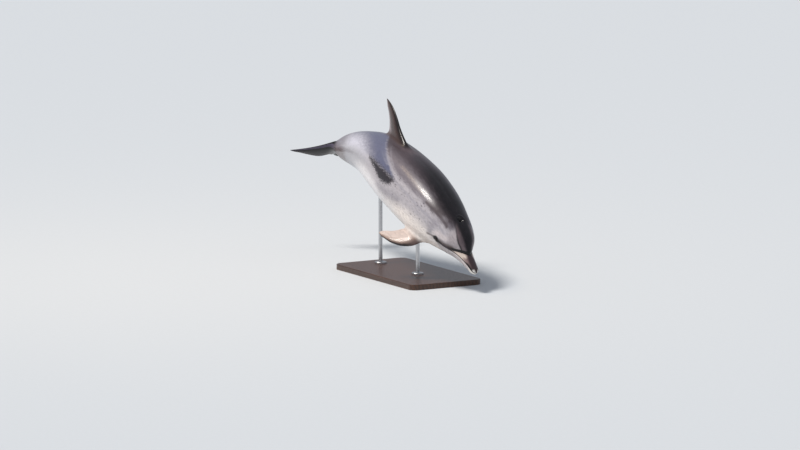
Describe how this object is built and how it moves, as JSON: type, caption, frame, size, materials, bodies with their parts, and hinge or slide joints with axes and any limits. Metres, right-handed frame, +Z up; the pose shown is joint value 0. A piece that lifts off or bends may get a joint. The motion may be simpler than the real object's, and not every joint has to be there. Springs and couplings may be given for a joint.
{
  "type": "atlantic spotted dolphin",
  "caption": "Life-size still model of a young Atlantic spotted dolphin in a downward leap, held over a flat base by two upright rods.",
  "frame": {"origin": "centre of the underside of the stand's base", "axes": "+X the way the dolphin leaps, along its trunk seen from above; +Y to its left; +Z up"},
  "size_m": [1.8343, 0.563, 0.9413],
  "materials": {
    "skin": "wet, smooth skin: charcoal cape and fins, grey sides with a pale blaze and small dark spots, near-white belly, brown beak with a white tip",
    "eye": "dark brown, wet and opaque, with a glossy surface",
    "base_wood": "dark stained board, satin lacquer",
    "rod_steel": "fine brushed, satin"
  },
  "bodies": {
    "root": {"beak": "skin", "lower_jaw": "skin", "head": "skin", "neck": "skin", "chest": "skin", "loin": "skin", "tail_stock": "skin", "dorsal_fin": "skin", "flipper_left": "skin", "flipper_right": "skin", "fluke_left": "skin", "fluke_right": "skin", "eye_left": "eye", "eye_right": "eye", "stand_base": "base_wood", "stand_rod_front": "rod_steel", "stand_rod_rear": "rod_steel", "stand_flange_front": "rod_steel", "stand_flange_rear": "rod_steel"}
  },
  "joints": []
}
